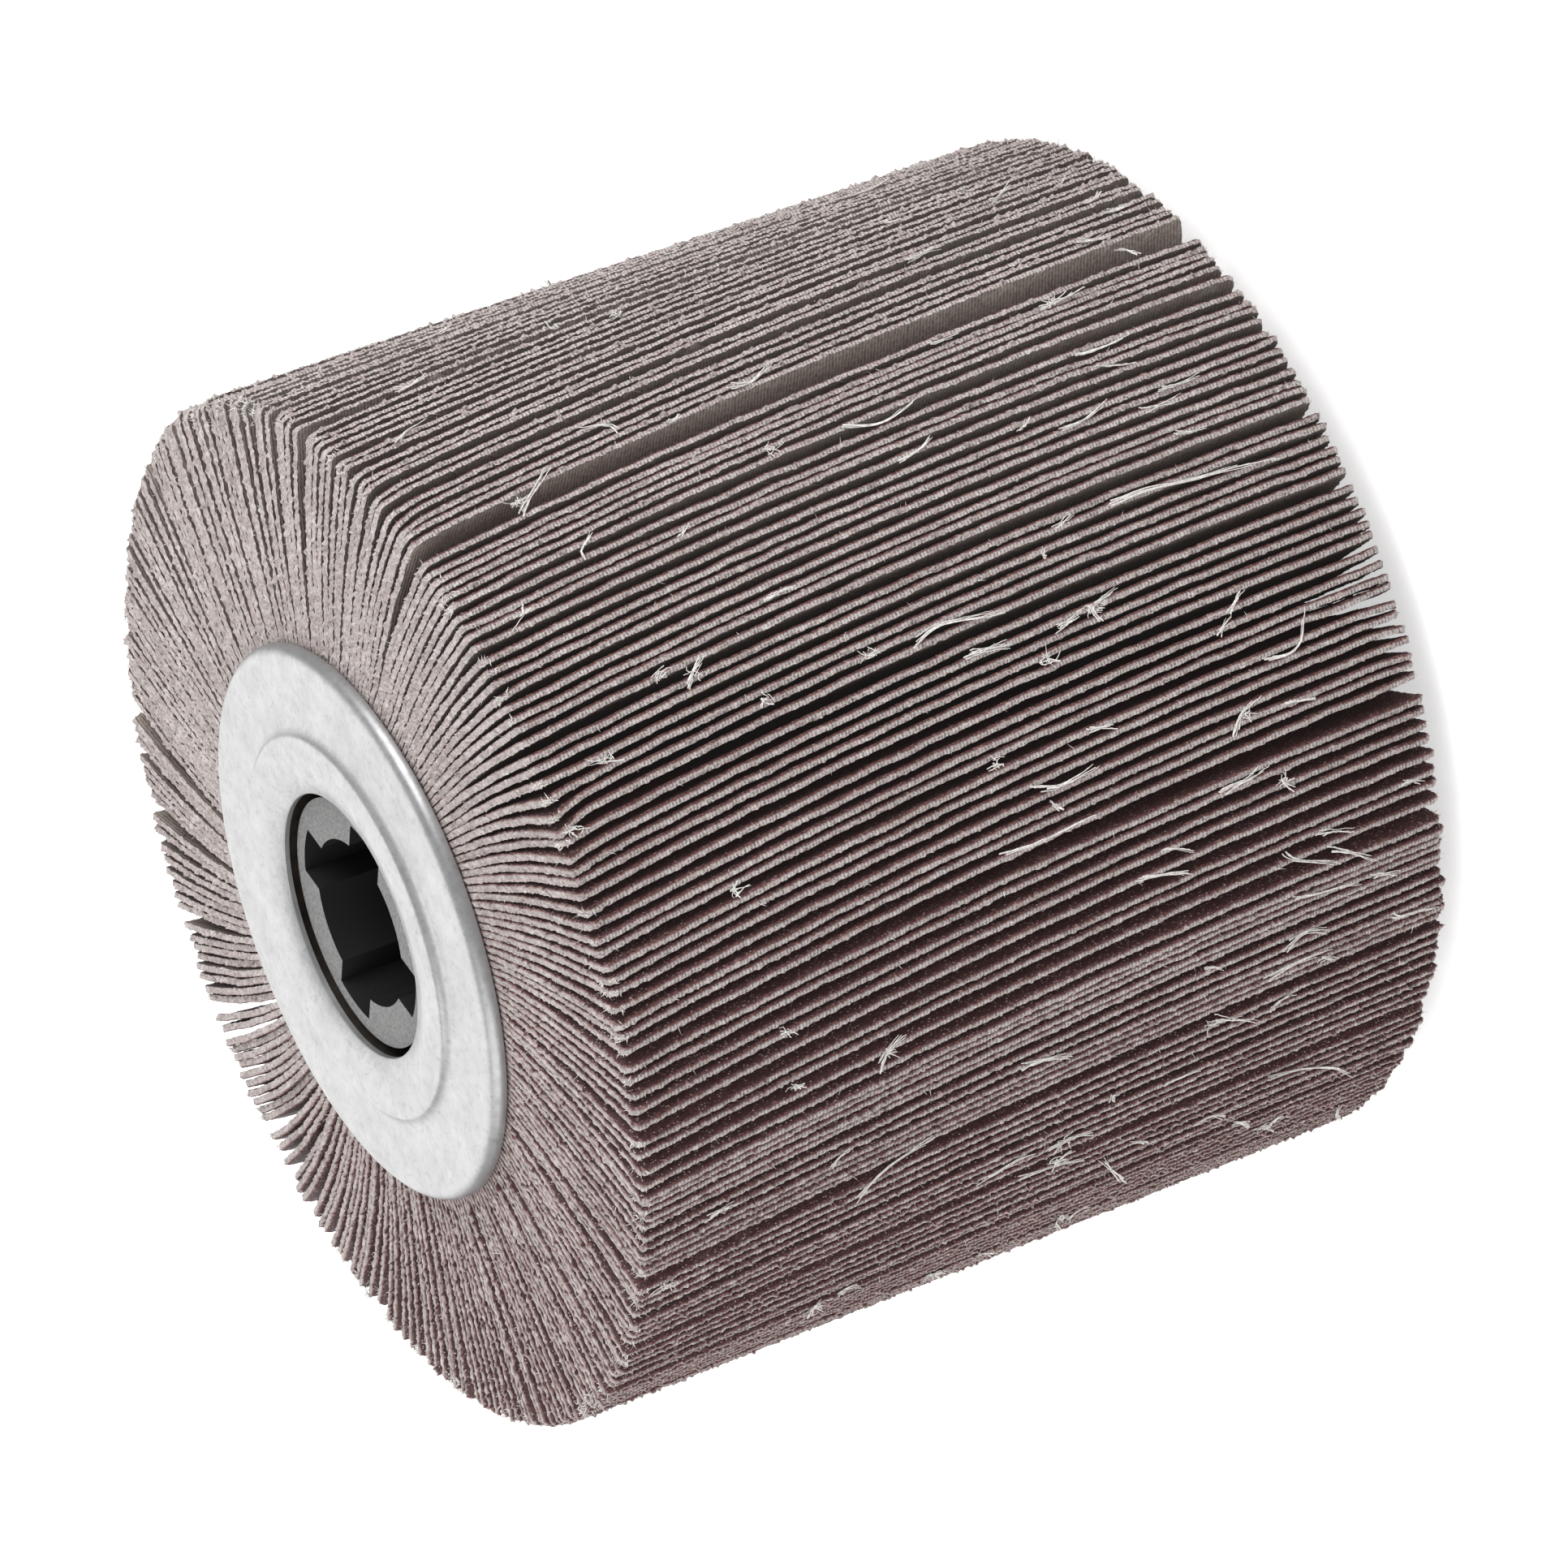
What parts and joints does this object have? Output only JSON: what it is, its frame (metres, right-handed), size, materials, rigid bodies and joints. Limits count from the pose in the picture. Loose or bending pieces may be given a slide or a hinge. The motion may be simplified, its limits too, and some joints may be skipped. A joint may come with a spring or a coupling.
{
  "type": "flap wheel",
  "caption": "Cylindrical abrasive flap wheel: radial cloth flaps packed round a core between two pressed end flanges, with a keyed bore through the middle.",
  "frame": {"origin": "centre of the lower flange's resting face, on the wheel's axis", "axes": "+Z along the wheel's axis, out of the upper flange; +X and +Y run through the keyways of the bore"},
  "size_m": [0.117, 0.117, 0.1069],
  "materials": {
    "abrasive_cloth": "woven cloth flap, rough, dark red-brown grain coat on one side, pale frayed cut edges",
    "pressed_steel": "matt silver-white pressed sheet with light handling marks",
    "moulded_hub": "matt black moulded plastic, dull grey on its end faces",
    "cast_resin": "dark cast resin"
  },
  "bodies": {
    "root": {"drive_hub": "moulded_hub", "resin_core": "cast_resin", "upper_flange": "pressed_steel", "lower_flange": "pressed_steel", "flap_packet_01": "abrasive_cloth", "flap_packet_02": "abrasive_cloth", "flap_packet_03": "abrasive_cloth", "flap_packet_04": "abrasive_cloth", "flap_packet_05": "abrasive_cloth", "flap_packet_06": "abrasive_cloth", "flap_packet_07": "abrasive_cloth", "flap_packet_08": "abrasive_cloth", "flap_packet_09": "abrasive_cloth", "flap_packet_10": "abrasive_cloth", "flap_packet_11": "abrasive_cloth", "flap_packet_12": "abrasive_cloth", "flap_packet_13": "abrasive_cloth", "flap_packet_14": "abrasive_cloth", "flap_packet_15": "abrasive_cloth", "flap_packet_16": "abrasive_cloth", "flap_packet_17": "abrasive_cloth", "flap_packet_18": "abrasive_cloth", "flap_packet_19": "abrasive_cloth", "flap_packet_20": "abrasive_cloth", "flap_packet_21": "abrasive_cloth", "flap_packet_22": "abrasive_cloth", "flap_packet_23": "abrasive_cloth", "flap_packet_24": "abrasive_cloth", "flap_packet_25": "abrasive_cloth", "flap_packet_26": "abrasive_cloth", "flap_packet_27": "abrasive_cloth", "flap_packet_28": "abrasive_cloth", "flap_packet_29": "abrasive_cloth", "flap_packet_30": "abrasive_cloth", "flap_packet_31": "abrasive_cloth", "flap_packet_32": "abrasive_cloth", "flap_packet_33": "abrasive_cloth", "flap_packet_34": "abrasive_cloth", "flap_packet_35": "abrasive_cloth", "flap_packet_36": "abrasive_cloth", "flap_packet_37": "abrasive_cloth", "flap_packet_38": "abrasive_cloth", "flap_packet_39": "abrasive_cloth", "flap_packet_40": "abrasive_cloth", "flap_packet_41": "abrasive_cloth", "flap_packet_42": "abrasive_cloth", "flap_packet_43": "abrasive_cloth", "flap_packet_44": "abrasive_cloth", "flap_packet_45": "abrasive_cloth", "flap_packet_46": "abrasive_cloth", "flap_packet_47": "abrasive_cloth", "flap_packet_48": "abrasive_cloth"}
  },
  "joints": []
}
